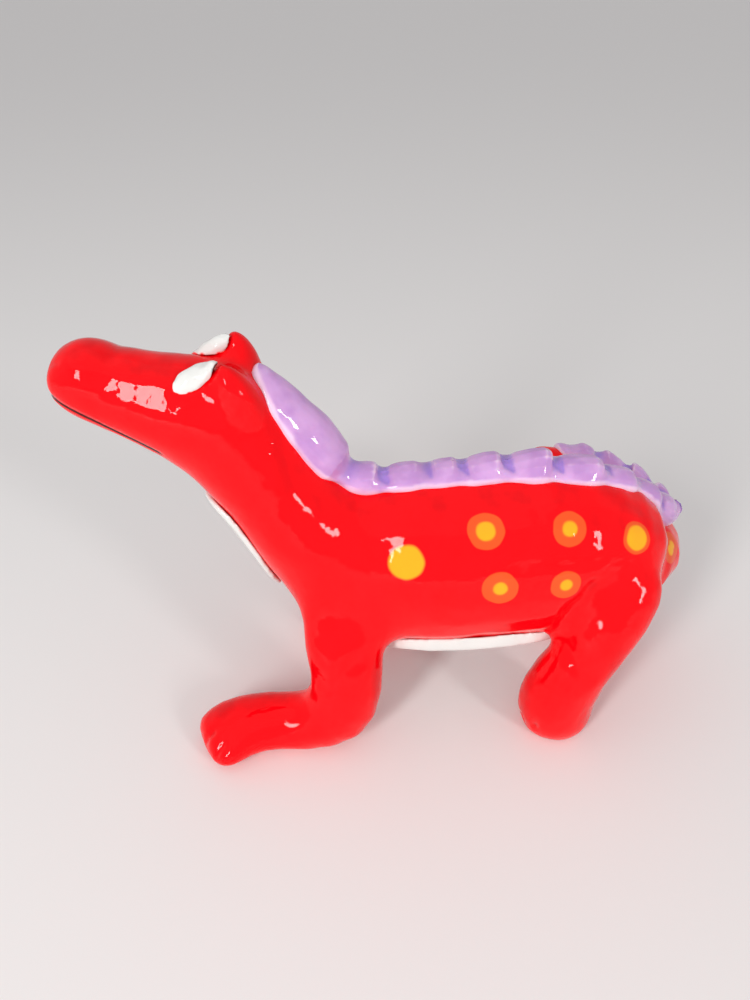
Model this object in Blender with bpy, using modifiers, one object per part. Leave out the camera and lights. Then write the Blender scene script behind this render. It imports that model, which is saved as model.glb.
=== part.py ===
"""Crested lizard figurine, hand-built in clay: a solid torso with the neck, head, jaw, legs, tail, belly
and throat plates, eye pads, brows and a row of crest scales, each piece luted on to the next.

Sizes are in millimetres and MM turns them into Blender's metres. The nose points along -X, the animal's
left side faces -Y, and +Z is up. Run with: blender --background --python part.py
"""

import math

import bmesh
import bpy
import numpy as np
from mathutils import Matrix, Vector

MM = 0.001

# Driving dimensions of the whole figure.
GAP = 0.3  # clearance of a luted joint
SOCKET_DEPTH = 3.0  # how far a limb's root is let into the clay that carries it
SLIP_DEPTH = 0.7  # the room for slip between a root and the floor of its socket
THINNEST_CORE = 0.5  # the least half width of a form's core
SCALE_ROOT = 3.0  # how far a crest scale's form reaches under the skin before it is trimmed to it
BLADE_ROOT = 5.0  # the same for the blade down the neck
PINCH = 0.25  # how much narrower a crest form is at its top than half way up, as a share of its width

# Facets of the soft forms: points round a cage, and subdivision steps.
BODY_POINTS = 12
LIMB_POINTS = 10
SCALE_POINTS = 6
FORM_LEVELS = 1

RED = ("red_glaze", (0.80, 0.004, 0.006, 1), 0.08)
WHITE = ("white_glaze", (0.82, 0.82, 0.78, 1), 0.1)
LAVENDER = ("lavender_glaze", (0.50, 0.28, 0.62, 1), 0.12)

# Each body form is a row of sections: its lowest point, its highest point and its half width.
TORSO = [
    ((-17, 0, 38), (-15, 0, 52), 7.0),
    ((-14, 0, 29), (-11, 0, 60), 13.0),
    ((-6, 0, 22), (-3, 0, 67.5), 19.2),
    ((14, 0, 21), (14, 0, 69), 22.0),
    ((34, 0, 22.5), (34, 0, 71), 21.5),
    ((52, 0, 26), (53, 0, 70), 19.5),
    ((65, 0, 30), (67, 0, 63), 15.5),
    ((72, 1, 36), (74, 1, 56), 9.0),
]
NECK_AND_HEAD = [
    ((-11, 0, 25), (6, 0, 58), 18.0),
    ((-20, 0, 32), (-1, 0, 64), 19.6),
    ((-27.5, 0, 45), (-8.5, 0, 69), 17.2),
    ((-34.5, 0, 58), (-14.5, 0, 76), 14.2),
    ((-43.5, 0, 71), (-19.5, 0, 88), 12.5),
    ((-49.5, 0.2, 75.5), (-27, 0, 98.5), 12.0),
    ((-55, 0.6, 79.2), (-43, 0.4, 99.5), 10.5),
    ((-61, 1.2, 82.1), (-55, 1.0, 100.0), 9.0),
    ((-67, 1.8, 84.8), (-63.5, 1.6, 104.0), 9.0),
    ((-71.5, 2.2, 87.9), (-69.5, 2.2, 101.2), 7.5),
    ((-73.2, 2.4, 91.5), (-72.7, 2.4, 97), 4.0),
]
# The head is luted to the neck on this plane, and the mouth is cut along the jaw plane in front of its corner.
NECK_END = ((-36.5, 0, 79), (-0.72, 0, 0.69))
MOUTH_CORNER = (-47.5, 0, 78.9)
MOUTH_SLOPE = 28.4  # degrees that the jaw plane climbs towards the nose
CUTTING_BLOCK = 400.0

TAIL = [
    ((55, 0, 36), (55, 0, 51), 7.0),
    ((64, 2, 29), (65, 2, 54), 12.5),
    ((72, 9, 28), (74, 9, 50), 11.5),
    ((75, 17, 28.5), (76, 17, 46), 9.5),
    ((73, 25, 32), (73.5, 26, 48), 8.5),
    ((66, 29, 38), (66, 30, 53), 7.8),
    ((57, 28.5, 43.5), (57, 30, 57), 6.8),
    ((49, 26.5, 48.5), (49, 28, 60), 5.4),
    ((42.5, 25.5, 51), (42.5, 27, 60.5), 4.2),
]
FORELEG_LEFT = [
    ((-19, -8, 51), (3, -8, 51), 5.0),
    ((-20.5, -14.5, 39), (3, -14.5, 38), 7.2),
    ((-16.4, -20, 28), (2, -20, 25), 7.5),
    ((-15.8, -22.3, 17.5), (1.5, -22, 9), 7.5),
    ((-20, -22, 13), (-7, -22.5, -1.5), 7.5),
    ((-27, -21, 12), (-25, -21.5, -1), 7.5),
    ((-35, -22.5, 11.5), (-35, -23, -1), 9.2),
    ((-40.6, -26, 9.5), (-40.6, -26.6, -0.5), 10.0),
    ((-44.4, -28.4, 6), (-44.4, -28.4, 0.8), 6.8),
]
FORELEG_RIGHT = [
    ((-10, 8, 51), (11, 8, 51), 5.0),
    ((-6, 14.5, 38), (14, 14.5, 38), 7.2),
    ((-1.5, 20, 25), (16, 20, 25), 7.5),
    ((0, 22, 15), (18, 22, 10), 7.5),
    ((-1, 22, 13), (11, 22, -1.5), 7.5),
    ((-6, 22, 12), (-5, 22, -1), 7.5),
    ((-12, 22.5, 11), (-12, 22.5, -1), 9.0),
    ((-17, 23.5, 9), (-17, 23.5, -0.5), 8.5),
    ((-20, 24.5, 5.5), (-20, 24.5, 0.5), 5.5),
]
HIND_LEG_LEFT = [
    ((55, -8, 53), (71, -8, 51), 6.0),
    ((52, -15, 44), (71, -15, 42), 8.0),
    ((46.5, -18, 32), (63.8, -18, 29), 8.0),
    ((41, -18.5, 20), (58.6, -18, 18.5), 8.3),
    ((37.8, -17.4, 9), (58.2, -16.8, 8), 9.2),
    ((39, -17.4, 3), (58, -16.8, 3), 8.8),
    ((42, -17, -3), (55.5, -16.8, -3), 5.5),
]
HIND_LEG_RIGHT = [
    ((46, 8, 50), (62, 8, 50), 6.0),
    ((47, 15, 41), (65, 15, 41), 8.0),
    ((50, 19, 30), (67, 19, 28), 8.0),
    ((53, 20, 19), (70, 20, 17), 8.0),
    ((51, 19, 9), (72, 19.6, 8), 9.2),
    ((52, 19, 3), (71.5, 19.6, 3), 8.8),
    ((55.5, 19, -3), (68.5, 19.4, -3), 5.5),
]
LEGS = {
    "foreleg_left": FORELEG_LEFT,
    "foreleg_right": FORELEG_RIGHT,
    "hind_leg_left": HIND_LEG_LEFT,
    "hind_leg_right": HIND_LEG_RIGHT,
}

# Brow mounds and eye pads: centre, radii along their own axes, and how they tilt about Y and then turn
# about Z, in degrees. A brow runs back down the temple, and an eye pad up to the top of its brow.
BROWS = {
    "brow_left": ((-28.9, -6.3, 93.4), (3.9, 4.8, 8.8), -32, 0),
    "brow_right": ((-29.2, 5.2, 94.6), (3.9, 4.8, 9.4), -18, 0),
}
EYES = {
    "eye_left": ((-38.0, -6.6, 98.0), (5.8, 3.0, 2.4), -32, 29),
    "eye_right": ((-36.6, 5.0, 98.6), (6.0, 3.0, 2.4), -36, -29),
}

# The crest: a smooth blade down the neck, then scales over the back and round the tail. A ridge point is
# where the crest's middle stands on the clay, and the way it grows out of it.
NECK_CREST = [
    ((-27.3, 0, 96.3), (0.55, 0, 0.83), 1.0, 4.4),
    ((-23.5, 0, 92.0), (0.72, 0, 0.69), 3.2, 6.2),
    ((-17.5, 0, 84.0), (0.80, 0, 0.60), 4.7, 6.8),
    ((-12.2, 0, 77.0), (0.74, 0, 0.67), 4.7, 7.0),
    ((-7.5, 0, 70.5), (0.55, 0, 0.84), 3.6, 6.6),
]
BACK_RIDGE = [
    ((-9.0, 0, 69.8), (0.30, 0, 0.95)),
    ((0.7, 0, 68.2), (0.05, 0, 1.0)),
    ((10.8, 0, 68.6), (0, 0, 1)),
    ((19.6, 0, 69.6), (-0.04, 0, 1)),
    ((30.1, 0, 70.4), (-0.02, 0, 1)),
    ((41.4, 0, 70.4), (0.04, 0, 1)),
    ((53.5, 1.0, 68.0), (0.28, 0, 0.95)),
    ((62.5, 3.0, 63.2), (0.45, 0, 0.88)),
    ((70.5, 6.5, 57.0), (0.52, 0, 0.85)),
    ((77.0, 12.0, 50.0), (0.48, 0, 0.88)),
]
TAIL_RIDGE = [
    ((77.0, 12.0, 50.0), (0.48, 0, 0.88)),
    ((80.2, 18.0, 46.6), (0.42, 0, 0.91)),
    ((78.2, 24.0, 47.8), (0.30, 0, 0.95)),
    ((72.0, 28.5, 50.6), (0.15, 0, 0.99)),
    ((64.5, 30.0, 53.4), (0.10, 0, 1.0)),
    ((57.5, 29.7, 56.2), (0.10, 0, 1.0)),
    ((50.5, 28.3, 57.6), (0.05, 0, 1.0)),
]
SCALE_HEIGHTS = [3.6, 4.0, 4.4, 5.4, 6.4, 5.8, 5.0, 4.6, 4.2]
TAIL_SCALE_HEIGHTS = [4.6, 5.0, 5.2, 5.0, 4.4, 3.2]
SCALE_HALF_WIDTH = 5.2
TAIL_SCALE_HALF_WIDTH = 4.2

# A scale's form along its row: how far along, how high and how wide, as parts of the scale's own sizes.
SCALE_PROFILE = (
    (-0.02, 0.45, 0.85),
    (0.35, 0.68, 0.98),
    (0.86, 1.00, 1.00),
    (1.10, 0.55, 0.80),
)

# The white plates: the middle of the outline, the way it runs, its outward side, half length, half width,
# and how far the plate stands off the red clay.
BELLY_PLATE = ((24, 0, 24), (1, 0, 0), (0, 0, -1), 27.0, 17.5, 2.4)
THROAT_PLATE = ((-29.4, 0, 54.6), (0.6, 0, -0.8), (-0.8, 0, -0.6), 16.0, 10.5, 1.1)
PLATE_SQUARENESS = 2.8  # 2 is an ellipse, higher is squarer
PLATE_POINTS = 24
PLATE_INSET = 16.0  # how far in from its middle the plate's cutting prism starts
PLATE_REACH = 40.0


def collection(name):
    """A collection linked to the scene."""
    made = bpy.data.collections.new(name)
    bpy.context.scene.collection.children.link(made)
    return made


def material(finish):
    """A Principled material from (name, colour, roughness), made once."""
    name, colour, roughness = finish
    made = bpy.data.materials.get(name)
    if made is None:
        made = bpy.data.materials.new(name)
        made.use_nodes = True
        shader = made.node_tree.nodes["Principled BSDF"]
        shader.inputs["Base Color"].default_value = colour
        shader.inputs["Roughness"].default_value = roughness
    return made


def add_part(name, mesh, finish):
    """A smooth-shaded part of the figure, parented to its empty."""
    made = bpy.data.objects.new(name, mesh)
    PARTS.objects.link(made)
    made.parent = FIGURE
    mesh.materials.append(material(finish))
    mesh.shade_smooth()
    return made


def add_cutter(name, mesh):
    """A helper solid that the figure is cut with and that is left out of it."""
    made = bpy.data.objects.new(name, mesh)
    CUTTERS.objects.link(made)
    made.parent = FIGURE
    made.hide_render = True
    made.display_type = "WIRE"
    return made


def as_mesh(name, shape):
    """A mesh from a bmesh, with its faces turned outwards."""
    bmesh.ops.recalc_face_normals(shape, faces=shape.faces)
    mesh = bpy.data.meshes.new(name)
    shape.to_mesh(mesh)
    shape.free()
    return mesh


def inset(sections, depth):
    """The same sections that many millimetres further in, also at both ends."""
    shrunk = []
    for low, high, half_width in sections:
        low, high = Vector(low), Vector(high)
        inwards = (high - low).normalized() * depth
        shrunk.append((low + inwards, high - inwards, max(half_width - depth, THINNEST_CORE)))
    for end, neighbour in ((0, 1), (-1, -2)):
        low, high, half_width = shrunk[end]
        along = (shrunk[neighbour][0] + shrunk[neighbour][1] - low - high).normalized() * depth
        shrunk[end] = (low + along, high + along, half_width)
    return shrunk


def cage_of(name, sections, points, pinch=0.0):
    """A mesh whose rings are the ellipses of the sections, widened for the pull of the subdivision.

    A pinch makes each ring narrower towards its top and wider towards its foot.
    """
    swell = 3 / (2 + math.cos(math.tau / points))
    centres = [(Vector(low) + Vector(high)) / 2 for low, high, _ in sections]
    last = len(sections) - 1
    shape = bmesh.new()
    rings = []
    for i, (low, high, half_width) in enumerate(sections):
        along = centres[min(i + 1, last)] - centres[max(i - 1, 0)]
        upward = (Vector(high) - Vector(low)) / 2
        across = along.cross(upward).normalized() * half_width
        ring = []
        for k in range(points):
            turn = math.tau * (k + 0.5) / points
            width = math.sin(turn) * (1 - pinch * math.cos(turn))
            point = centres[i] + swell * (upward * math.cos(turn) + across * width)
            ring.append(shape.verts.new(point * MM))
        rings.append(ring)
    for ring, following in zip(rings, rings[1:]):
        for k in range(points):
            after = (k + 1) % points
            shape.faces.new((ring[k], ring[after], following[after], following[k]))
    shape.faces.new(rings[0])
    shape.faces.new(rings[-1])
    return as_mesh(name, shape)


def soften(obj):
    """Rounds a cage with a Subdivision Surface."""
    rounding = obj.modifiers.new("rounding", "SUBSURF")
    rounding.levels = FORM_LEVELS
    rounding.render_levels = FORM_LEVELS
    return obj


def soft_form(name, sections, points, finish, pinch=0.0):
    """A part rounded from the cage of its sections."""
    return soften(add_part(name, cage_of(name, sections, points, pinch), finish))


def core_cutter(name, sections, depth):
    """A cutter that lies that many millimetres inside a body form."""
    name = f"{name}_core_{depth:g}"
    return soften(add_cutter(name, cage_of(name, inset(sections, depth), BODY_POINTS)))


def lump(name, centre, radii, tilt, turn, finish):
    """A rounded lump of clay, tilted about Y and then turned about Z."""
    place = Matrix.Translation(Vector(centre) * MM) @ Matrix.Rotation(math.radians(turn), 4, "Z")
    place = place @ Matrix.Rotation(math.radians(tilt), 4, "Y") @ Matrix.Diagonal((*radii, 1))
    shape = bmesh.new()
    bmesh.ops.create_uvsphere(shape, u_segments=16, v_segments=10, radius=MM, matrix=place)
    return add_part(name, as_mesh(name, shape), finish)


def offset_mesh(obj, amount):
    """The object's surface as it stands now, moved out along its normals by that many millimetres."""
    bpy.context.view_layer.update()
    graph = bpy.context.evaluated_depsgraph_get()
    mesh = bpy.data.meshes.new_from_object(obj.evaluated_get(graph))
    mesh.materials.clear()
    normals = [corner.vector.copy() for corner in mesh.vertex_normals]
    for vertex, normal in zip(mesh.vertices, normals):
        vertex.co += normal * amount * MM
    return mesh


def offset_cutter(obj, amount):
    """A cutter made of the object's offset surface."""
    return add_cutter(f"{obj.name}_offset_{amount:g}", offset_mesh(obj, amount))


def boolean(obj, tool, operation="DIFFERENCE"):
    """Adds a Boolean. The forms are closed, which the MANIFOLD solver needs; EXACT left open edges here."""
    step = obj.modifiers.new(f"{operation.lower()} {tool.name}", "BOOLEAN")
    step.operation = operation
    step.object = tool
    step.solver = "MANIFOLD"


def block(name, corner, axes):
    """A large cutting block. In XZ it fills the quarter that the two ways span from the corner."""
    first, second = (Vector(axis).normalized() for axis in axes)
    turn = Matrix((first, (0, 1, 0), second)).transposed().to_4x4()
    middle = Vector(corner) + (first + second) * CUTTING_BLOCK / 2
    shape = bmesh.new()
    bmesh.ops.create_cube(shape, size=CUTTING_BLOCK * MM, matrix=Matrix.Translation(middle * MM) @ turn)
    return add_cutter(name, as_mesh(name, shape))


def half_space(name, point, outward):
    """A block that fills the side of a plane that `outward` points to; the plane is upright in Y."""
    way = Vector(outward).normalized()
    along = Vector((way.z, 0, -way.x))
    return block(name, Vector(point) - along * CUTTING_BLOCK / 2, (along, way))


def cut_head_and_jaw(neck, head, jaw):
    """Parts the neck, the head and the lower jaw out of three copies of one long form."""
    point, way = (Vector(value) for value in NECK_END)
    boolean(neck, half_space("head_side", point, way))
    boolean(head, half_space("neck_side", point + way.normalized() * GAP, -way))
    slope = math.radians(MOUTH_SLOPE)
    forward = Vector((-math.cos(slope), 0, math.sin(slope)))
    below = Vector((-math.sin(slope), 0, -math.cos(slope)))
    corner = Vector(MOUTH_CORNER)
    boolean(jaw, block("jaw_side", corner, (forward, below)), "INTERSECT")
    boolean(head, block("mouth", corner - (forward + below) * GAP, (forward, below)))


def let_in(limb, carrier):
    """Lutes a limb into a shallow socket: its root stops SOCKET_DEPTH under the carrier's skin."""
    boolean(FORMS[limb], SHAPES[carrier]["core"])
    socket = add_cutter(f"{limb}_socket_in_{carrier}", SHAPES[limb]["clearance"].data.copy())
    boolean(socket, SHAPES[carrier]["socket_floor"])
    boolean(FORMS[carrier], socket)


def seat_on(part, carriers):
    """Trims a part to the skins that it sits on, with a gap."""
    for carrier in carriers:
        boolean(part, SHAPES[carrier]["clearance"])


def plate(name, carrier, frame):
    """A slab that follows the carrier's skin inside a rounded outline."""
    middle, along, outward, half_length, half_width, thickness = frame
    along, outward = Vector(along).normalized(), Vector(outward).normalized()
    across = outward.cross(along)
    shape = bmesh.new()
    rim = []
    for k in range(PLATE_POINTS):
        turn = math.tau * k / PLATE_POINTS
        reach = [math.copysign(abs(part) ** (2 / PLATE_SQUARENESS), part)
                 for part in (math.cos(turn), math.sin(turn))]
        point = Vector(middle) - outward * PLATE_INSET
        point += along * half_length * reach[0] + across * half_width * reach[1]
        rim.append(shape.verts.new(point * MM))
    face = shape.faces.new(rim)
    raised = bmesh.ops.extrude_face_region(shape, geom=[face])
    lifted = [item for item in raised["geom"] if isinstance(item, bmesh.types.BMVert)]
    bmesh.ops.translate(shape, verts=lifted, vec=outward * PLATE_REACH * MM)
    outline = add_cutter(f"{name}_outline", as_mesh(f"{name}_outline", shape))
    slab = add_part(name, offset_mesh(SHAPES[carrier]["whole"], thickness), WHITE)
    boolean(slab, outline, "INTERSECT")
    return slab


def scale_sections(start, end, height, half_width):
    """Sections of one crest scale: thin where it starts, highest near its rear, round at its end."""
    sections = []
    for share, rise, width in SCALE_PROFILE:
        base = Vector(start[0]).lerp(Vector(end[0]), share)
        up = Vector(start[1]).lerp(Vector(end[1]), share).normalized()
        sections.append((base - up * SCALE_ROOT, base + up * height * rise, half_width * width))
    return sections


def build_body():
    """The red clay: forms first, then the cuts that let them into each other."""
    lofts = [("torso", TORSO, BODY_POINTS), ("neck", NECK_AND_HEAD, BODY_POINTS), ("tail", TAIL, LIMB_POINTS)]
    lofts += [(name, sections, LIMB_POINTS) for name, sections in LEGS.items()]
    for name, sections, points in lofts:
        form = soft_form(name, sections, points, RED)
        FORMS[name] = form
        SHAPES[name] = {"whole": offset_cutter(form, 0.0), "clearance": offset_cutter(form, GAP)}
    for name, sections in (("torso", TORSO), ("neck", NECK_AND_HEAD)):
        SHAPES[name]["core"] = core_cutter(name, sections, SOCKET_DEPTH)
        SHAPES[name]["socket_floor"] = core_cutter(name, sections, SOCKET_DEPTH + SLIP_DEPTH)
    head = soft_form("head", NECK_AND_HEAD, BODY_POINTS, RED)
    jaw = soft_form("lower_jaw", NECK_AND_HEAD, BODY_POINTS, RED)
    cut_head_and_jaw(FORMS["neck"], head, jaw)
    let_in("neck", "torso")
    let_in("tail", "torso")
    ground = half_space("ground", (0, 0, 0), (0, 0, -1))
    for name in LEGS:
        let_in(name, "torso")
        boolean(FORMS[name], ground)
    for name in ("foreleg_left", "foreleg_right"):
        let_in(name, "neck")
    seat_on(FORMS["tail"], ["hind_leg_right"])


def build_face():
    """Brow mounds on the head, and the white eye pads in front of them."""
    for name, shape in {**BROWS, **EYES}.items():
        finish = RED if name in BROWS else WHITE
        part = lump(name, *shape, finish)
        SHAPES[name] = {"clearance": offset_cutter(part, GAP)}
        seat_on(part, ["neck"])
        if name in EYES:
            seat_on(part, BROWS)
    seat_on(bpy.data.objects["brow_right"], ["brow_left"])
    seat_on(bpy.data.objects["eye_right"], ["eye_left"])


def build_crest():
    """The neck blade, then the scales, each tucked under the one in front of it."""
    blade = []
    for base, way, height, half_width in NECK_CREST:
        up = Vector(way).normalized()
        blade.append((Vector(base) - up * BLADE_ROOT, Vector(base) + up * height, half_width))
    row = [("neck_crest", blade, LIMB_POINTS)]
    ridges = [("crest_scale", BACK_RIDGE, SCALE_HEIGHTS, SCALE_HALF_WIDTH),
              ("tail_scale", TAIL_RIDGE, TAIL_SCALE_HEIGHTS, TAIL_SCALE_HALF_WIDTH)]
    for kind, ridge, heights, half_width in ridges:
        for number, (start, end, height) in enumerate(zip(ridge, ridge[1:], heights), 1):
            sections = scale_sections(start, end, height, half_width)
            row.append((f"{kind}_{number:02d}", sections, SCALE_POINTS))
    in_front = None
    for name, sections, points in row:
        part = soft_form(name, sections, points, LAVENDER, PINCH)
        SHAPES[name] = {"clearance": offset_cutter(part, GAP)}
        seat_on(part, ["torso", "neck", "tail"])
        if in_front is None:
            seat_on(part, BROWS)
        else:
            seat_on(part, [in_front])
        in_front = name


def build_plates():
    """The raised white plates under the belly and the throat."""
    for name, carrier, frame in (("belly_plate", "torso", BELLY_PLATE), ("throat_plate", "neck", THROAT_PLATE)):
        slab = plate(name, carrier, frame)
        seat_on(slab, ["torso", "neck", *LEGS])


def settle():
    """Bakes every part's cuts into its mesh and drops the crumbs that a cut left loose."""
    bpy.context.view_layer.update()
    graph = bpy.context.evaluated_depsgraph_get()
    parts = [part for part in PARTS.objects if part.type == "MESH"]
    baked = [bpy.data.meshes.new_from_object(part.evaluated_get(graph)) for part in parts]
    for part, mesh in zip(parts, baked):
        shape = bmesh.new()
        shape.from_mesh(mesh)
        loose = set(shape.verts)
        bodies = []
        while loose:
            body = [loose.pop()]
            for vertex in body:
                near = {edge.other_vert(vertex) for edge in vertex.link_edges} & loose
                loose -= near
                body.extend(near)
            bodies.append(body)
        bodies.sort(key=len)
        for crumb in bodies[:-1]:
            bmesh.ops.delete(shape, geom=crumb, context="VERTS")
        shape.to_mesh(mesh)
        shape.free()
        part.modifiers.clear()
        part.data = mesh


def stand_on_origin():
    """Moves the whole figure so that its soles are at Z = 0 and its box is centred on X and Y."""
    bpy.context.view_layer.update()
    graph = bpy.context.evaluated_depsgraph_get()
    lows = []
    highs = []
    for part in PARTS.objects:
        if part.type == "MESH":
            corners = np.array([part.evaluated_get(graph).bound_box[k] for k in range(8)])
            lows.append(corners.min(axis=0))
            highs.append(corners.max(axis=0))
    low = np.min(lows, axis=0)
    high = np.max(highs, axis=0)
    FIGURE.location = (-(low[0] + high[0]) / 2, -(low[1] + high[1]) / 2, 0)


for old in list(bpy.data.objects):
    bpy.data.objects.remove(old)
PARTS = collection("lizard_figurine")
CUTTERS = collection("cutters")
FIGURE = bpy.data.objects.new("figure", None)
PARTS.objects.link(FIGURE)
FORMS = {}  # the red parts by name
SHAPES = {}  # the offset surfaces of each part, as cutters

build_body()
build_face()
build_crest()
build_plates()
settle()
stand_on_origin()
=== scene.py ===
# %% [markdown]
# # A glazed lizard, from the clay up
#
# The real thing is a small ceramic animal. Its maker rolled and pinched the body parts, stuck them together
# with wet clay, and smoothed the joints with a finger. Then came opaque red, white and lavender glazes, and
# a thick clear one over everything. In Blender we do the same jobs in the same order: take the solid parts
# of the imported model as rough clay, run them together, smooth them, press in the details, and glaze.

# %% The rough clay
import math

import bmesh
import bpy
import numpy as np
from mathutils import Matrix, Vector, noise
from mathutils.bvhtree import BVHTree


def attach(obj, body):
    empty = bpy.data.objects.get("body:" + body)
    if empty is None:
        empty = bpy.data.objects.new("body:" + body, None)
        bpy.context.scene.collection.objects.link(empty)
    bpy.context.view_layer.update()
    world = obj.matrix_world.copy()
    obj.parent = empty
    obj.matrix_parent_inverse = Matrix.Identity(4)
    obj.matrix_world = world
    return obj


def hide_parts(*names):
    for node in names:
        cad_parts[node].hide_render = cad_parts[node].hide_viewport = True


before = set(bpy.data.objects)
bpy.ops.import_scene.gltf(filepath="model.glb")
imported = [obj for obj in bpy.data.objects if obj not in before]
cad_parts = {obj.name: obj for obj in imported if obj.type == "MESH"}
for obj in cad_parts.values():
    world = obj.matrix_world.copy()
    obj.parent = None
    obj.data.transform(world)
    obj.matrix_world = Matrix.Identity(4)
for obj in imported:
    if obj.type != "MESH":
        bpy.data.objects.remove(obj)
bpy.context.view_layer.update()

MM = 0.001
nodes = sorted(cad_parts)
crest_nodes = ["neck_crest", *(name for name in nodes if "scale" in name)]
eye_nodes = [name for name in nodes if name.startswith("eye")]
plate_nodes = [name for name in nodes if name.endswith("plate")]
red_nodes = [name for name in nodes if name not in crest_nodes + eye_nodes + plate_nodes]
print(len(red_nodes), "red parts,", len(crest_nodes), "of the crest,", len(plate_nodes + eye_nodes), "white")

# %% [markdown]
# ## The camera
#
# The figurine is looked at from close by, with a phone's wide lens, from well above. A near camera makes the
# raised head look large, so the place matters as much as the angle. Depth of field stays off.

# %% Camera
CAMERA_BACK = 158.2 * MM  # from the middle of the figurine, along Y
CAMERA_SIDE = -5.4 * MM
CAMERA_UP = 171.6 * MM
CAMERA_PITCH = 35  # degrees below level
camera_data = bpy.data.cameras.new("camera")
camera_data.lens = 28
camera_data.sensor_width = 36
camera_data.clip_start = 0.01
camera = bpy.data.objects.new("camera", camera_data)
camera.location = (CAMERA_SIDE, -CAMERA_BACK, CAMERA_UP)
camera.rotation_euler = (math.radians(90 - CAMERA_PITCH), 0, 0)
bpy.context.scene.collection.objects.link(camera)
bpy.context.scene.camera = camera
print("camera", round(camera.location.length * 1000), "mm from the origin")

# %% [markdown]
# ## Reading and moving points
#
# Everything that follows shapes clay by moving points, many thousands at a time. NumPy holds them as rows of
# a table, so a whole surface moves in one sum. These helpers read a mesh into tables and write it back.

# %% Points in and out of a mesh
def points_of(mesh):
    """Every point of the mesh, one row each, in metres."""
    table = np.empty(len(mesh.vertices) * 3, np.float32)
    mesh.vertices.foreach_get("co", table)
    return table.reshape(-1, 3).astype(float)


def normals_of(mesh):
    """The outward way at every point."""
    table = np.empty(len(mesh.vertices) * 3, np.float32)
    mesh.vertex_normals.foreach_get("vector", table)
    return table.reshape(-1, 3).astype(float)


def edges_of(mesh):
    """The two point numbers of every edge."""
    table = np.empty(len(mesh.edges) * 2, np.int32)
    mesh.edges.foreach_get("vertices", table)
    return table.reshape(-1, 2)


def set_points(mesh, table):
    """Moves the mesh's points to the rows of the table."""
    mesh.vertices.foreach_set("co", table.astype(np.float32).ravel())
    mesh.update()


# %% [markdown]
# ## Running parts together
#
# Luted clay has no gaps: slip fills each joint, and a finger draws it into a soft fillet. We copy the solid
# parts, swell each by a hair so that neighbours meet, and let Blender's voxel remesh turn the lot into one
# skin of even squares. A union with a Boolean would keep every crease sharp, so this is the better way.

# %% Fusing
def swollen_copy(name, grow):
    """A copy of a CAD part's mesh, welded and grown along its normals."""
    copy = bmesh.new()
    copy.from_mesh(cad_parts[name].data)
    bmesh.ops.remove_doubles(copy, verts=copy.verts, dist=0.01 * MM)
    copy.normal_update()
    moved = [vertex.co + vertex.normal * grow for vertex in copy.verts]
    for vertex, place in zip(copy.verts, moved):
        vertex.co = place
    return copy


def fused(name, parts, grow, voxel):
    """One even skin around the swollen copies of the parts, as a mesh."""
    together = bmesh.new()
    for part in parts:
        copy = swollen_copy(part, grow)
        step = bpy.data.meshes.new("step")
        copy.to_mesh(step)
        copy.free()
        together.from_mesh(step)
        bpy.data.meshes.remove(step)
    mesh = bpy.data.meshes.new(name)
    together.to_mesh(mesh)
    together.free()
    lump = bpy.data.objects.new(name, mesh)
    bpy.context.scene.collection.objects.link(lump)
    remesh = lump.modifiers.new("voxels", "REMESH")
    remesh.mode = "VOXEL"
    remesh.voxel_size = voxel
    graph = bpy.context.evaluated_depsgraph_get()
    skin = bpy.data.meshes.new_from_object(lump.evaluated_get(graph))
    bpy.data.objects.remove(lump)
    drop_crumbs(skin)
    print(name, len(skin.vertices), "points")
    return skin


def drop_crumbs(mesh):
    """Deletes everything but the mesh's largest body, such as the skins of gaps shut inside it."""
    shape = bmesh.new()
    shape.from_mesh(mesh)
    loose = set(shape.verts)
    bodies = []
    while loose:
        body = [loose.pop()]
        for vertex in body:
            for edge in vertex.link_edges:
                other = edge.other_vert(vertex)
                if other in loose:
                    loose.remove(other)
                    body.append(other)
        bodies.append(body)
    bodies.sort(key=len)
    crumbs = [vertex for body in bodies[:-1] for vertex in body]
    bmesh.ops.delete(shape, geom=crumbs, context="VERTS")
    shape.to_mesh(mesh)
    shape.free()


# %% [markdown]
# ## Smoothing like a wet finger
#
# Moving each point towards the middle of its neighbours smooths a surface but also shrinks it. Taubin's
# trick is to follow each step in with a slightly longer step out: small bumps and creases go, and the
# large form keeps its size. It needs no more than the list of edges. Where a finger has pressed slip into a
# joint we do want to lose the shape, so there the steps in stand alone, stronger the nearer the joint.

# %% Smoothing
STEP_IN = 0.50
STEP_OUT = -0.515


def neighbour_middle(table, edges, count):
    """For every point, the average of the points at the other ends of its edges."""
    first, second = edges[:, 0], edges[:, 1]
    total = np.empty_like(table)
    for axis in range(table.shape[1]):
        total[:, axis] = np.bincount(first, table[second, axis], len(table))
        total[:, axis] += np.bincount(second, table[first, axis], len(table))
    return total / count[:, None]


def smoothed(mesh, table, rounds, where=None):
    """The points after rounds of smoothing: all of them at full size, or only `where`, from 0 to 1."""
    edges = edges_of(mesh)
    count = np.bincount(edges.ravel(), minlength=len(table)).astype(float)
    for _ in range(rounds):
        if where is None:
            table = table + STEP_IN * (neighbour_middle(table, edges, count) - table)
            table = table + STEP_OUT * (neighbour_middle(table, edges, count) - table)
        else:
            table = table + (STEP_IN * where)[:, None] * (neighbour_middle(table, edges, count) - table)
    return table


def fading(distance, reach):
    """1 at no distance, fading softly to next to nothing at twice the reach."""
    return np.exp(-((distance / reach) ** 2))


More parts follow.
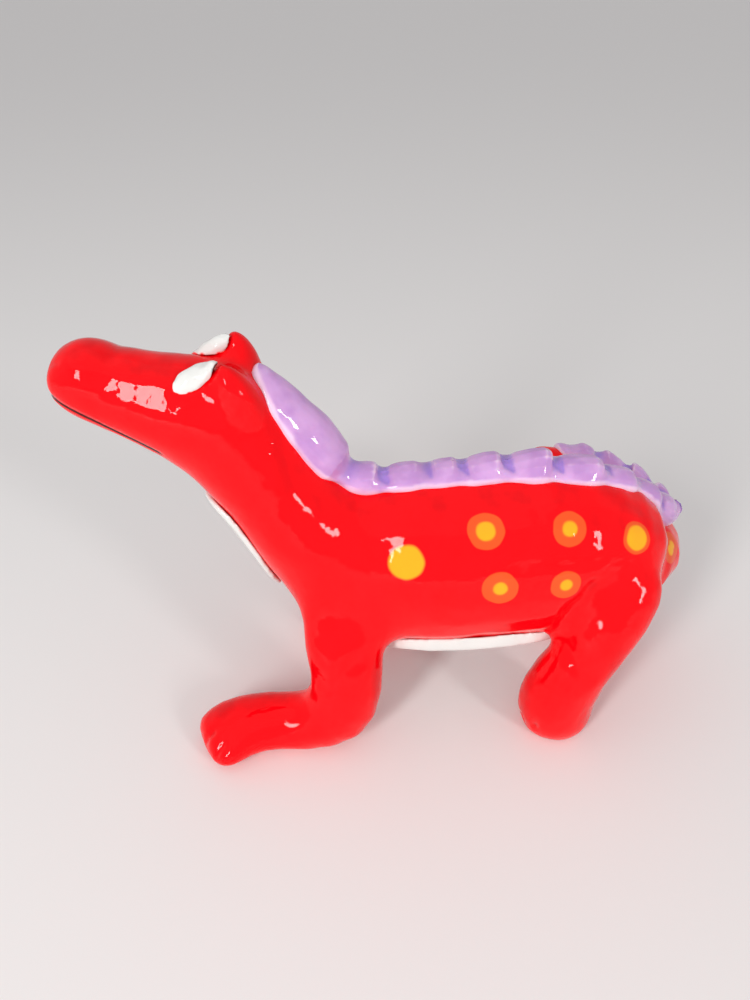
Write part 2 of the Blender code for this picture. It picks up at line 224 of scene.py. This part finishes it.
def tree_of(parts):
    """A search tree over the CAD parts, and the number of the part that each of its faces belongs to."""
    corners, faces, owner = [], [], []
    for number, part in enumerate(parts):
        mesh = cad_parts[part].data
        start = len(corners)
        corners += [vertex.co.copy() for vertex in mesh.vertices]
        faces += [[start + index for index in face.vertices] for face in mesh.polygons]
        owner += [number] * len(mesh.polygons)
    return BVHTree.FromPolygons(corners, faces), owner


def distances(table, tree, reach):
    """How far every point is from a tree's surface, at most `reach`."""
    found = (tree.find_nearest(Vector(point), reach)[3] for point in table)
    return np.array([reach if gap is None else gap for gap in found])


def joint_distances(table, groups, reach):
    """How far every point is from the second nearest group of parts: next to nothing at a joint."""
    gaps = [distances(table, tree_of(group)[0], reach) for group in groups]
    return np.sort(np.array(gaps), axis=0)[:2]


# %% [markdown]
# ## Hand work
#
# Nothing on a hand-made piece is true. The clay keeps slow dents from the fingers, and the brushed glaze
# lies in ripples, which is why its highlights wander. Two scales of noise, moved into the surface itself,
# give both. Their heights are small: a quarter of a millimetre over a fingertip, less for a brush.

# %% Waviness
def wavy(table, size, height):
    """How far each point moves for dents about `size` across."""
    return height * np.array([noise.noise(Vector(point / size)) for point in table])


# %% [markdown]
# ## The red body
#
# The red body is torso, neck, head, jaw, brows, legs and tail in one skin. First its joints are drawn
# together: a wide soft fillet where a leg or the neck leaves the flank, a tight one under the belly and round
# the brows, where only a fingertip fits.

# %% Red body
RED_VOXEL = 0.7 * MM
GLAZE = 0.1 * MM  # the glaze that stands on the clay
SWELL = 0.5 * MM  # closes the gaps between the CAD parts
FAR = 12 * MM  # distances are measured up to this, which is beyond the reach of any joint
LOW_REACH, HIGH_REACH = 2.6 * MM, 7.0 * MM  # how wide a joint is smoothed, at the belly and on the flank
BELLY_HEIGHT, FLANK_HEIGHT = 22 * MM, 34 * MM
THIGHS_FROM = 25 * MM  # behind this X the thighs stay round, so their joints are smoothed no wider
BROW_REACH = 3.2 * MM
SHOULDERS = [(-17, -22.5, 40), (6, 20.5, 40)]  # in millimetres: over each foreleg the clay is stroked flat
SHOULDER_REACH = 7 * MM
FIRST_ROUNDS, LAST_ROUNDS = 8, 50  # of smoothing, over the whole skin
JOINT_ROUNDS, SHOULDER_ROUNDS, BROW_ROUNDS = 320, 160, 90

body_skin = fused("body_skin", red_nodes, SWELL, RED_VOXEL)
place = smoothed(body_skin, points_of(body_skin), FIRST_ROUNDS)
limbs = [[name] for name in red_nodes if "leg" in name or name == "tail"]
gap = joint_distances(place, [["torso"], ["neck", "head", "lower_jaw"], *limbs], FAR)[1]
reach = np.interp(place[:, 2], [BELLY_HEIGHT, FLANK_HEIGHT], [LOW_REACH, HIGH_REACH])
reach = np.where(place[:, 0] > THIGHS_FROM, LOW_REACH, reach)
at_joint = fading(gap, reach)
gap = joint_distances(place, [["neck", "head"], ["brow_left"], ["brow_right"]], FAR)[1]
at_brow = fading(gap, BROW_REACH)
place = smoothed(body_skin, place, JOINT_ROUNDS, at_joint)
for middle in SHOULDERS:
    off = np.linalg.norm(place - np.array(middle) * MM, axis=1)
    place = smoothed(body_skin, place, SHOULDER_ROUNDS, fading(off, SHOULDER_REACH))
place = smoothed(body_skin, place, BROW_ROUNDS, at_brow)
place = smoothed(body_skin, place, LAST_ROUNDS)
set_points(body_skin, place)
print("joints cover", round(100 * at_joint.mean()), "% of the red skin")

# %% [markdown]
# ## Toes, nostrils and mouth
#
# These are pressed in with a wooden tool: each is a line in space, and every point near the line sinks by an
# amount that fades with distance. A ridge is the same with the sign turned round, such as the two soft edges
# that run from the nose to the eyes and leave the bridge between them flat.

# %% Pressing lines
def distance_to_line(table, line):
    """How far every point is from a line through the given places."""
    best = np.full(len(table), np.inf)
    for start, end in zip(line, line[1:]):
        start, end = np.array(start) * MM, np.array(end) * MM
        along = end - start
        share = np.clip((table - start) @ along / (along @ along), 0, 1)
        best = np.minimum(best, np.linalg.norm(table - start - share[:, None] * along, axis=1))
    return best


def pressed(table, line, depth, width):
    """How far each point sinks under a rounded tool drawn along the line."""
    return -depth * MM * fading(distance_to_line(table, line), width * MM)


# The mouth lies in a plane that climbs towards the nose from its corner.
MOUTH_CORNER = Vector((-52.9, 0, 78.9)) * MM
MOUTH_SLOPE = math.radians(28.4)
MOUTH_UP = Vector((math.sin(MOUTH_SLOPE), 0, math.cos(MOUTH_SLOPE)))
MOUTH_FORWARD = Vector((-math.cos(MOUTH_SLOPE), 0, math.sin(MOUTH_SLOPE)))
MOUTH_DEPTH, MOUTH_WIDTH = 0.35 * MM, 0.5 * MM
MOUTH_START = 2 * MM  # the groove reaches its depth this far ahead of the corner

# Every line below is a list of places in millimetres.
TOE_GROOVES = [
    [(-50.5, -29.5, 4.5), (-47.5, -28.6, 8.2), (-42, -25.5, 10.8)],
    [(-47.5, -35.5, 4.5), (-44, -32.5, 8), (-40.5, -28, 10.6)],
    [(-26, 20.8, 4.5), (-23.5, 21.2, 8.2), (-18, 21.5, 11)],
    [(-25.5, 26.5, 4.5), (-22.5, 25.5, 8), (-17.5, 24.5, 10.8)],
    [(33.5, -20.5, 3), (35, -20, 7), (38.5, -19, 11)],
    [(35.5, -25.5, 3), (37, -24.5, 7), (40.5, -22.5, 11)],
    [(46.5, 16, 3), (48, 16, 7), (51.5, 16.5, 11)],
    [(46.5, 21.5, 3), (48, 21.5, 7), (51.5, 21, 11)],
]
NOSTRILS = [[(-76.5, -3.2, 99.8), (-74.6, -4.6, 100.6)], [(-76.3, 5.6, 99.8), (-74.4, 7.0, 100.6)]]
BRIDGE_EDGES = [[(-70, -5.5, 99.5), (-60, -6.2, 97.0), (-50, -8.0, 97.0)],
                [(-70, 7.5, 99.5), (-60, 7.2, 97.5), (-50, 8.0, 97.5)]]
LEG_FOLDS = [  # thighs, elbows and knees
    [(46.5, -20.5, 49.6), (42.1, -20.1, 42), (40.5, -17, 33)],
    [(59.5, 20.5, 49.6), (55.1, 20.1, 42), (53.5, 17, 33)],
    [(-18.5, -26.5, 24.5), (-10, -25.8, 30)],
    [(5.5, 22.5, 24.5), (14, 22, 30)],
    [(40.5, -22.5, 33), (47, -26, 26.5)],
    [(53.5, 22.5, 33), (60, 26, 26.5)],
]
BEHIND_NOSE = [(-62.5, -4, 101), (-62.5, 6, 101)]
CHEEK_DENTS = [[(-66, -8.5, 91), (-63, -8.8, 97)], [(-66, 10.5, 91), (-63, 10.5, 97)]]
# The lines of each kind, how deep the tool goes and how wide it is, in millimetres. A minus raises a ridge.
PRESSINGS = [
    ([groove[:2] for groove in TOE_GROOVES], 0.5, 0.8),  # a cut between the toes, at the front
    (TOE_GROOVES, 0.35, 1.8),  # and a soft hollow that runs on over the foot
    (NOSTRILS, 0.5, 0.9),
    (BRIDGE_EDGES, -0.45, 2.6),
    (CHEEK_DENTS, 0.45, 2.8),
    ([BEHIND_NOSE], 0.5, 2.2),
    (LEG_FOLDS, 1.0, 2.6),
]
FINGER_DENTS = (12 * MM, 0.25 * MM)  # how far across, and how high
BRUSH_RIPPLES = (4.5 * MM, 0.09 * MM)

place, way = points_of(body_skin), normals_of(body_skin)
rise = GLAZE - SWELL + wavy(place, *FINGER_DENTS) + wavy(place, *BRUSH_RIPPLES)
for lines, depth, width in PRESSINGS:
    for line in lines:
        rise += pressed(place, line, depth, width)
off_plane = (place - np.array(MOUTH_CORNER)) @ np.array(MOUTH_UP)
ahead = (place - np.array(MOUTH_CORNER)) @ np.array(MOUTH_FORWARD)
rise -= MOUTH_DEPTH * fading(off_plane, MOUTH_WIDTH) * np.clip(ahead / MOUTH_START, 0, 1)
place += way * rise[:, None]
place[:, 2] = np.maximum(place[:, 2], 0)
set_points(body_skin, place)
print("body skin from", place.min(0).round(4), "to", place.max(0).round(4))

# %% [markdown]
# ## Back to separate pieces
#
# The body is one smooth skin now, but it stands for many parts. Each face goes to the part that it lies
# nearest to, and the open edge of each piece is closed inside the clay. The pieces share their edge points
# and keep the normals of the whole skin, so no seam shows in the gloss.

# %% Sharing out a skin
def nearest_part(table, parts):
    """For every point of the table, the number of the CAD part that it lies nearest to."""
    tree, owner = tree_of(parts)
    return np.array([owner[tree.find_nearest(Vector(point))[2]] for point in table])


def closed_inside(mesh):
    """Closes the open edges of a piece with a fan of faces to a point between them."""
    shape = bmesh.new()
    shape.from_mesh(mesh)
    rim = [edge for edge in shape.edges if edge.is_boundary]
    caps = bmesh.ops.holes_fill(shape, edges=rim, sides=0)["faces"]
    bmesh.ops.poke(shape, faces=caps)
    shape.to_mesh(mesh)
    shape.free()


def share_out(skin, parts, glaze, marks):
    """Makes one closed piece of the skin for each CAD part, with its marks, and hides that part."""
    table, normals = points_of(skin), normals_of(skin)
    faces = np.array([face.vertices[:] for face in skin.polygons])
    owner = nearest_part(table[faces].mean(axis=1), parts)
    for number, part in enumerate(parts):
        mine = faces[owner == number]
        used, corners = np.unique(mine, return_inverse=True)
        mesh = bpy.data.meshes.new(f"{part}_glazed")
        mesh.from_pydata(table[used], [], corners.reshape(mine.shape).tolist())
        closed_inside(mesh)
        finish_piece(mesh, part, used, normals, glaze, marks)


def finish_piece(mesh, part, used, normals, glaze, marks):
    """Names, glazes and attaches a piece whose first points are the skin's points `used`."""
    for mark, values in marks.items():
        layer = mesh.attributes.new(mark, "FLOAT", "POINT")
        kept = np.zeros(len(mesh.vertices), np.float32)
        kept[:len(used)] = values[used]
        layer.data.foreach_set("value", kept)
    mesh.shade_smooth()
    ways = normals_of(mesh)
    ways[:len(used)] = normals[used]
    mesh.normals_split_custom_set_from_vertices(ways.tolist())
    mesh.materials.append(glaze)
    piece = bpy.data.objects.new(mesh.name, mesh)
    bpy.context.scene.collection.objects.link(piece)
    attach(piece, "root")
    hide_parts(part)


# %% [markdown]
# ## Where glaze runs thick and thin, and where shade is painted
#
# The lavender glaze slides off high places and pools in hollows, so its colour is palest on an edge and
# deepest in a notch, where it is deepened a little more as painted shade. The red and the white are
# darkened in their hollows as painted shade. We measure that once from the shape: a point that stands out
# from its smoothed surroundings has a positive relief, and one in a hollow has a negative relief. The
# materials read it by name.

# %% Relief
def relief(mesh, rounds, height):
    """-1 in the hollows to 1 on the edges, for features of about that height."""
    table = points_of(mesh)
    calm = smoothed(mesh, table, rounds, np.ones(len(table)))
    return np.clip(((table - calm) * normals_of(mesh)).sum(axis=1) / height, -1, 1)


# %% [markdown]
# ## Colours and nodes
#
# Glaze colours are given as sRGB hex, as a picture editor shows them. Blender's shaders count in linear
# light, so one function turns the one into the other, and one more adds a node with its links.

# %% Colour and node helpers
def colour(code):
    """A linear colour from an sRGB hex code."""
    parts = [int(code[i:i + 2], 16) / 255 for i in (1, 3, 5)]
    return (*(v / 12.92 if v <= 0.04045 else ((v + 0.055) / 1.055) ** 2.4 for v in parts), 1)


def add_node(tree, kind, inputs=None, **settings):
    """Adds a node. An input is a value, or another node's output to link."""
    node = tree.nodes.new(kind)
    for name, value in settings.items():
        setattr(node, name, value)
    for name, value in (inputs or {}).items():
        if isinstance(value, bpy.types.NodeSocket):
            tree.links.new(value, node.inputs[name])
        else:
            node.inputs[name].default_value = value
    return node


def new_glaze(name):
    """A new material, its tree of nodes, and the Principled shader in it, to be filled in."""
    glaze = bpy.data.materials.new(name)
    glaze.use_nodes = True
    tree = glaze.node_tree
    return glaze, tree, tree.nodes["Principled BSDF"]


def mixed(tree, amount, under, over):
    """The colour `over` laid on the colour `under` by an amount from 0 to 1."""
    node = add_node(tree, "ShaderNodeMix", {0: amount, 6: under, 7: over}, data_type="RGBA")
    return node.outputs[2]


def ramped(tree, value, none, full):
    """A value turned to 0 where it is at `none` or past it, and to 1 at `full` or past it, softly between."""
    node = add_node(tree, "ShaderNodeMapRange", {0: value, 1: none, 2: full}, interpolation_type="SMOOTHSTEP")
    return node.outputs[0]


def math_of(tree, operation, *values):
    """Arithmetic on values or on other nodes' outputs."""
    return add_node(tree, "ShaderNodeMath", dict(enumerate(values)), operation=operation).outputs[0]


def marked(tree, mark):
    """A mark that was measured on the shape."""
    return add_node(tree, "ShaderNodeAttribute", attribute_name=mark).outputs["Fac"]


def place_in(tree, stretch=(1, 1, 1)):
    """The place on the figurine in metres, divided by a stretch along each axis."""
    spot = add_node(tree, "ShaderNodeTexCoord").outputs["Object"]
    if stretch == (1, 1, 1):
        return spot
    return add_node(tree, "ShaderNodeVectorMath", {0: spot, 1: stretch}, operation="DIVIDE").outputs[0]


def noise_in(tree, size, detail=2.0, stretch=(1, 1, 1)):
    """Soft noise with patches about `size` millimetres across."""
    inputs = {"Vector": place_in(tree, stretch), "Scale": 1 / (size * MM), "Detail": detail}
    return add_node(tree, "ShaderNodeTexNoise", inputs).outputs["Fac"]


def glossed(tree, shader, base, ripple, coat=1.28):
    """A coloured glaze under a thick clear one: glassy, with brush ripples of that many millimetres."""
    tree.links.new(base, shader.inputs["Base Color"])
    shader.inputs["Roughness"].default_value = 0.4
    shader.inputs["Specular IOR Level"].default_value = 0.0  # no border between two layers of glass
    shader.inputs["Coat Weight"].default_value = 1.0
    shader.inputs["Coat Roughness"].default_value = 0.02
    shader.inputs["Coat IOR"].default_value = coat
    strokes = noise_in(tree, size=2.5, detail=1.0)
    bump = add_node(tree, "ShaderNodeBump", {"Height": strokes, "Strength": 1.0, "Distance": ripple * MM})
    tree.links.new(bump.outputs[0], shader.inputs["Normal"])
    tree.links.new(bump.outputs[0], shader.inputs["Coat Normal"])


# %% [markdown]
# ## Red underglaze with painted spots
#
# The red is an opaque underglaze, brushed on in several coats. Where the strokes overlap it is a little
# deeper, in faint bands that run up and down the flank. Its hollows are darkened towards a deeper red, which
# is painted shade. The dots are dabs of orange with a yellow heart.
# They are worked out in the shader from their distance to a place on the flank, so they need no picture.

# %% Red glaze
RED, DEEP_RED = colour("#FB0410"), colour("#C8000A")
ORANGE, YELLOW = colour("#EE5524"), colour("#F8AC22")
MOUTH_BROWN = colour("#3A0505")
# Each spot: its middle in millimetres, its radius, and its yellow heart's share of the radius. Y counts from
# the middle of the body to either side, so both flanks have them. The last three are on the tail.
SPOTS = [
    ((1.8, 19.2, 56.5), 4.5, 0.93),
    ((20.1, 15.9, 63.3), 4.4, 0.52),
    ((23.7, 21.9, 50.9), 4.3, 0.40),
    ((39.5, 15.3, 63.4), 4.1, 0.45),
    ((39.2, 20.8, 51.1), 3.7, 0.40),
    ((56.3, 13.3, 59.2), 4.0, 0.75),
    ((71.2, 0.9, 45.7), 3.6, 0.40),
    ((69.5, 34.0, 39.5), 3.6, 0.45),
    ((60.5, 35.5, 47.5), 3.3, 0.90),
    ((51.0, 32.8, 51.5), 2.8, 0.40),
]
# How far beyond the radius the paint begins, and is full, in millimetres.
DAB_EDGE = (0.15, -0.25)
HEART_EDGE = (0.35, -0.45)
SPOT_WOBBLE = 0.9 * MM  # how much the rims of the spots wander
BAND_STRENGTH = 0.45


def measured_along(tree, start, way):
    """How far a place on the figurine is from a start, along a way."""
    here = place_in(tree)
    gone = add_node(tree, "ShaderNodeVectorMath", {0: here, 1: start}, operation="SUBTRACT").outputs[0]
    return add_node(tree, "ShaderNodeVectorMath", {0: gone, 1: way}, operation="DOT_PRODUCT").outputs["Value"]


def mouth_line(tree):
    """1 in the cut of the mouth, a dark line a third of a millimetre to each side of its plane."""
    off = math_of(tree, "ABSOLUTE", measured_along(tree, MOUTH_CORNER, MOUTH_UP))
    near = ramped(tree, off, none=0.4 * MM, full=0.22 * MM)
    ahead = ramped(tree, measured_along(tree, MOUTH_CORNER, MOUTH_FORWARD), none=0.0, full=1.5 * MM)
    return math_of(tree, "MULTIPLY", near, ahead)


def either_side(tree):
    """The place on the figurine, with Y counted from the middle to either side."""
    split = add_node(tree, "ShaderNodeSeparateXYZ", {0: place_in(tree)}).outputs
    side = math_of(tree, "ABSOLUTE", split["Y"])
    return add_node(tree, "ShaderNodeCombineXYZ", {"X": split["X"], "Y": side, "Z": split["Z"]}).outputs[0]


def within(tree, gap, radius, edge):
    """1 within a radius and 0 beyond it, over a soft edge given in millimetres."""
    return ramped(tree, gap, none=radius + edge[0] * MM, full=radius + edge[1] * MM)


def red_glaze():
    """The opaque red, its brush bands, painted shade in its hollows, and its painted spots."""
    glaze, tree, shader = new_glaze("red_underglaze_with_clear_gloss")
    bands = ramped(tree, noise_in(tree, size=6, stretch=(1, 1, 5)), none=0.35, full=0.75)
    paint = mixed(tree, math_of(tree, "MULTIPLY", bands, BAND_STRENGTH), RED, DEEP_RED)
    # painted shade: the red is darkened towards the deep red in the hollows
    hollow_shade = ramped(tree, marked(tree, "relief"), none=-0.3, full=-1.8)
    paint = mixed(tree, hollow_shade, paint, DEEP_RED)
    rim_noise = noise_in(tree, size=5, detail=1.0)
    wobble = math_of(tree, "MULTIPLY_ADD", rim_noise, SPOT_WOBBLE, -SPOT_WOBBLE / 2)
    here = either_side(tree)
    for middle, radius, heart in SPOTS:
        ends = {0: here, 1: Vector(middle) * MM}
        gap = add_node(tree, "ShaderNodeVectorMath", ends, operation="DISTANCE").outputs["Value"]
        gap = math_of(tree, "ADD", gap, wobble)
        paint = mixed(tree, within(tree, gap, radius * MM, DAB_EDGE), paint, ORANGE)
        paint = mixed(tree, within(tree, gap, heart * radius * MM, HEART_EDGE), paint, YELLOW)
    paint = mixed(tree, mouth_line(tree), paint, MOUTH_BROWN)
    glossed(tree, shader, paint, ripple=0.09)
    print(glaze.name, "with", len(SPOTS), "spots,", len(tree.nodes), "nodes")
    return glaze


red_marks = {"relief": relief(body_skin, rounds=12, height=0.25 * MM)}
share_out(body_skin, red_nodes, red_glaze(), red_marks)

# %% [markdown]
# ## The crest
#
# The crest is a strip of soft lumps under a lavender glaze that is half clear. It pools violet in the
# notches, and the violet there is also painted shade. It breaks to a pale pink on the tops, and a thin pale
# line is left where it meets the red.

# %% Crest
LAVENDER, LIGHT_LAVENDER, VIOLET = colour("#C08FCB"), colour("#D2A3D8"), colour("#A07DD0")
PALE_TOP, PALE_RIM = colour("#EACBE5"), colour("#E6CBDD")


def lavender_glaze():
    """A half-clear lavender, violet where it is thick, with painted shade in the notches, and pale where it
    is thin.
    """
    glaze, tree, shader = new_glaze("lavender_brushed_glaze")
    cloud = ramped(tree, noise_in(tree, size=7, detail=3.0), none=0.35, full=0.65)
    paint = mixed(tree, cloud, LAVENDER, LIGHT_LAVENDER)
    # violet in the hollows: pooled glaze, and partly painted shade
    paint = mixed(tree, ramped(tree, marked(tree, "relief"), none=0.0, full=-1.3), paint, VIOLET)
    paint = mixed(tree, ramped(tree, marked(tree, "relief"), none=0.35, full=1.0), paint, PALE_TOP)
    paint = mixed(tree, marked(tree, "rim"), paint, PALE_RIM)
    glossed(tree, shader, paint, ripple=0.09, coat=1.45)
    shader.inputs["Subsurface Weight"].default_value = 0.15
    shader.inputs["Subsurface Scale"].default_value = 1.5 * MM
    return glaze


def skin_tree(mesh):
    """A search tree of a skin, to measure distances to it."""
    return BVHTree.FromPolygons([vertex.co for vertex in mesh.vertices],
                                [face.vertices for face in mesh.polygons])


CREST_SWELL = 1.3 * MM  # swollen this far, the scales fill the notches between them, as slip does
CREST_VOXEL = 0.5 * MM
CREST_ROUNDS = 20
TIP_POINTS = 1500  # this many points lie closer to the blade's tip than the place it is drawn away from
TIP_REACH, TIP_DRAWN = 6 * MM, 2.0 * MM  # how much of the tip is drawn out, and how far
FLANGE = 2.2 * MM  # up to this height the scales run into one smooth edge
FLANGE_ROUNDS, FLANGE_RISE = 90, 1.1 * MM
BLADE_REACH = 3.0 * MM  # how wide the blade on the neck runs into the first scale
BLADE_ROUNDS = 120
LEAN = 0.2  # the scales lean rearwards by this share of their height
SLANT = 0.6  # a notch runs rearwards as it goes down, this far for each step of height
SCALE_TOP = 5 * MM
TAIL_SIDE = 14 * MM  # beyond this the crest runs forward again, along the tail
NOTCH_DEPTH, NOTCH_WIDTH = 0.65 * MM, 0.9 * MM
NOTCH_START = 1.5 * MM  # a notch reaches its depth this far above the flange
CREST_DENTS = (6 * MM, 0.3 * MM)
TUCK_DEPTH, TUCK_REACH = 0.7 * MM, 0.8 * MM  # the lower edge is tucked into the red skin
RIM_WIDTH = 0.4 * MM

body_tree = skin_tree(body_skin)
crest_skin = fused("crest_skin", crest_nodes, CREST_SWELL, CREST_VOXEL)
place = smoothed(crest_skin, points_of(crest_skin), CREST_ROUNDS)
tip = place[place[:, 2].argmax()]
from_tip = np.linalg.norm(place - tip, axis=1)
foot = place[np.argsort(from_tip)[TIP_POINTS]]
drawn = (tip - foot) / np.linalg.norm(tip - foot)
place += TIP_DRAWN * fading(from_tip, TIP_REACH)[:, None] * drawn
height = distances(place, body_tree, FAR)
place = smoothed(crest_skin, place, FLANGE_ROUNDS, fading(height, FLANGE))
gap = joint_distances(place, [["neck_crest"], crest_nodes[1:]], FAR)[1]
place = smoothed(crest_skin, place, BLADE_ROUNDS, fading(gap, BLADE_REACH))
rearward = np.where(place[:, 1] > TAIL_SIDE, -1, 1)
place[:, 0] += rearward * LEAN * np.clip(height - FLANGE, 0, SCALE_TOP)
set_points(crest_skin, place)
way = normals_of(crest_skin)
slanted = place.copy()
slanted[:, 0] -= rearward * SLANT * np.clip(SCALE_TOP - height, 0, SCALE_TOP)
lumps = [["neck_crest", "crest_scale_01"], *([name] for name in crest_nodes[2:])]
nearest, second = joint_distances(slanted, lumps, FAR)
notch = fading(second - nearest, NOTCH_WIDTH) * np.clip((height - FLANGE) / NOTCH_START, 0, 1)
rise = GLAZE - CREST_SWELL + wavy(place, *CREST_DENTS) - NOTCH_DEPTH * notch
rise += FLANGE_RISE * fading(height, FLANGE)
place += way * rise[:, None]
for number, point in enumerate(place):
    skin_way, _, gap = body_tree.find_nearest(Vector(point))[1:]
    place[number] -= np.array(skin_way) * TUCK_DEPTH * fading(gap, TUCK_REACH)
set_points(crest_skin, place)
rim = fading(distances(place, body_tree, FAR), RIM_WIDTH)
crest_marks = {"relief": relief(crest_skin, rounds=25, height=0.3 * MM), "rim": rim}
share_out(crest_skin, crest_nodes, lavender_glaze(), crest_marks)

# %% [markdown]
# ## White plates and eyes
#
# The belly and throat are thin slabs that stand a little proud, and the eyes are pads pressed into the
# brows. All are an opaque white. On the eyes its edge is ragged, and red shows beyond it. Black was drawn
# with a fine brush beside each brow, and it broke up in the firing.

# %% White glaze
# the third white is the grey of painted shade in the hollows
WHITE, GREYED_WHITE, SHADED_WHITE = colour("#E8E8E4"), colour("#D8D8D4"), colour("#C9C6C0")
LASH_BLACK = colour("#15100F")


def white_glaze(name, eye=False):
    """An opaque white, a little grey in patches, greyed in the hollows as painted shade, and with the marks
    of an eye.
    """
    glaze, tree, shader = new_glaze(name)
    paint = mixed(tree, noise_in(tree, size=8), WHITE, GREYED_WHITE)
    # painted shade: the white is greyed in the hollows
    paint = mixed(tree, ramped(tree, marked(tree, "relief"), none=0.0, full=-1.0), paint, SHADED_WHITE)
    if eye:
        paint = mixed(tree, marked(tree, "bare"), paint, RED)
        paint = mixed(tree, marked(tree, "lash"), paint, LASH_BLACK)
    glossed(tree, shader, paint, ripple=0.04, coat=1.35)
    return glaze


def white_relief(skin):
    """The relief of a white piece."""
    return relief(skin, rounds=15, height=0.3 * MM)


# %% Plates
PLATE_SWELL, PLATE_VOXEL = 0.35 * MM, 0.5 * MM
PLATE_ROUNDS, PLATE_EDGE_ROUNDS = 12, 6  # at full size, and then softening the edges

plate_glaze = white_glaze("white_plate_glaze")
for part in plate_nodes:
    skin = fused(f"{part}_skin", [part], PLATE_SWELL, PLATE_VOXEL)
    place = smoothed(skin, points_of(skin), PLATE_ROUNDS)
    set_points(skin, smoothed(skin, place, PLATE_EDGE_ROUNDS, np.ones(len(place))))
    share_out(skin, [part], plate_glaze, {"relief": white_relief(skin)})

# %% Eyes
EYE_SWELL, EYE_VOXEL, EYE_ROUNDS = 0.4 * MM, 0.35 * MM, 12
EYE_SINK = 0.3 * MM
EYE_DENTS = (2.2 * MM, 0.35 * MM)
# How far each pad is moved along X and Z, in millimetres: first at its front end, then at its back end.
EYE_SHIFTS = {"eye_left": ((-0.5, 0.6), (-0.2, 0.5)), "eye_right": ((-1.3, -0.7), (0.5, 1.2))}
EYE_WIDTHS = {"eye_left": 0.78, "eye_right": 0.9}  # each pad is narrowed to this share of its width
EYE_FLATNESS = {"eye_left": 0.6, "eye_right": 0.9}  # and pressed flat to this share of its height
LASH_WIDTH = 0.3 * MM
LASH_BREAKS = (1.5 * MM, 2.5)  # how long the gaps in the black line are, and how sharp
LASH_COVER = 0.6  # how black the line is on average
BARE_HEIGHT, BARE_EDGE = 0.4 * MM, 0.2 * MM  # the white ends about this high above the red skin
BARE_WANDER = (1.6 * MM, 1.0 * MM)


def eye_skin(part):
    """The skin of an eye: a dented pad, laid in its place and pressed onto the head."""
    skin = fused(f"{part}_skin", [part], EYE_SWELL, EYE_VOXEL)
    set_points(skin, smoothed(skin, points_of(skin), EYE_ROUNDS))
    place = points_of(skin)
    rise = wavy(place, *EYE_DENTS) - EYE_SINK
    place += normals_of(skin) * rise[:, None]
    middle = place.mean(axis=0)
    place[:, 1] = middle[1] + EYE_WIDTHS[part] * (place[:, 1] - middle[1])
    share = np.interp(place[:, 0], [place[:, 0].min(), place[:, 0].max()], [0, 1])
    front, back = EYE_SHIFTS[part]
    place[:, 0] += (front[0] + (back[0] - front[0]) * share) * MM
    place[:, 2] += (front[1] + (back[1] - front[1]) * share) * MM
    under = np.array([body_tree.find_nearest(Vector(point))[0] for point in place])
    set_points(skin, under + EYE_FLATNESS[part] * (place - under))
    return skin


def eye_marks(skin):
    """The relief of an eye, the broken black line beside the brow, and the red beyond the white's edge."""
    place = points_of(skin)
    brow_gap = distances(place, tree_of(["brow_left", "brow_right"])[0], FAR)
    broken = np.clip(LASH_COVER + wavy(place, *LASH_BREAKS), 0, 1)
    ragged = distances(place, body_tree, FAR) - BARE_HEIGHT + wavy(place, *BARE_WANDER)
    return {"relief": white_relief(skin), "lash": broken * fading(brow_gap, LASH_WIDTH),
            "bare": np.clip(-ragged / BARE_EDGE, 0, 1)}


eye_glaze = white_glaze("white_eye_glaze", eye=True)
for part in eye_nodes:
    skin = eye_skin(part)
    share_out(skin, [part], eye_glaze, eye_marks(skin))

# %% [markdown]
# ## Floor and light
#
# Gloss is only as good as what it mirrors. A long body under one big lamp gets a hard white stripe from end
# to end, so the two main lamps stand to the left and right of the camera: they show as small bright patches
# where the clay turns towards them, such as on the cheek and the thigh. A soft sky lights the rest. It is
# about as bright as the plain pale floor, so the glaze mirrors no sharp horizon.

# %% Stage
def lamp(name, way, distance, width, height, power):
    """A soft box that faces the figurine from that way."""
    data = bpy.data.lights.new(name, "AREA")
    data.shape = "RECTANGLE"
    data.size = width
    data.size_y = height
    data.energy = power
    light = bpy.data.objects.new(name, data)
    way = Vector(way).normalized()
    light.location = AIM + way * distance
    light.rotation_euler = way.to_track_quat("Z", "Y").to_euler()
    bpy.context.scene.collection.objects.link(light)


AIM = Vector((0, 0, 55)) * MM  # the middle of the figurine, which the lamps face
FLOOR_HALF = 6.0  # in metres, from the middle to each side
corners = [(x, y, 0) for x, y in ((-1, -1), (1, -1), (1, 1), (-1, 1))]
floor_mesh = bpy.data.meshes.new("floor")
floor_mesh.from_pydata([Vector(corner) * FLOOR_HALF for corner in corners], [], [(0, 1, 2, 3)])
floor = bpy.data.objects.new("floor", floor_mesh)
bpy.context.scene.collection.objects.link(floor)
matte, _, matte_shader = new_glaze("pale_floor")
matte_shader.inputs["Base Color"].default_value = colour("#ECEAE8")
matte_shader.inputs["Roughness"].default_value = 0.9
matte_shader.inputs["Specular IOR Level"].default_value = 0.1
floor_mesh.materials.append(matte)

lamp("window_left", (-0.50, -0.78, 0.42), distance=0.8, width=0.12, height=0.38, power=3.6)
lamp("window_right", (0.62, -0.66, 0.34), distance=0.9, width=0.13, height=0.18, power=1.9)
sky_light = bpy.data.lights.new("soft_sky", "SUN")
sky_light.energy = 0.15
sky_light.angle = math.radians(70)
sky = bpy.data.objects.new("soft_sky", sky_light)
sky.rotation_euler = Vector((-0.25, -0.15, 0.95)).to_track_quat("Z", "Y").to_euler()
bpy.context.scene.collection.objects.link(sky)
world = bpy.data.worlds.new("studio")
world.use_nodes = True
world.node_tree.nodes["Background"].inputs["Color"].default_value = colour("#E2E1E3")
world.node_tree.nodes["Background"].inputs["Strength"].default_value = 0.7
bpy.context.scene.world = world
bpy.context.scene.view_settings.view_transform = "Standard"
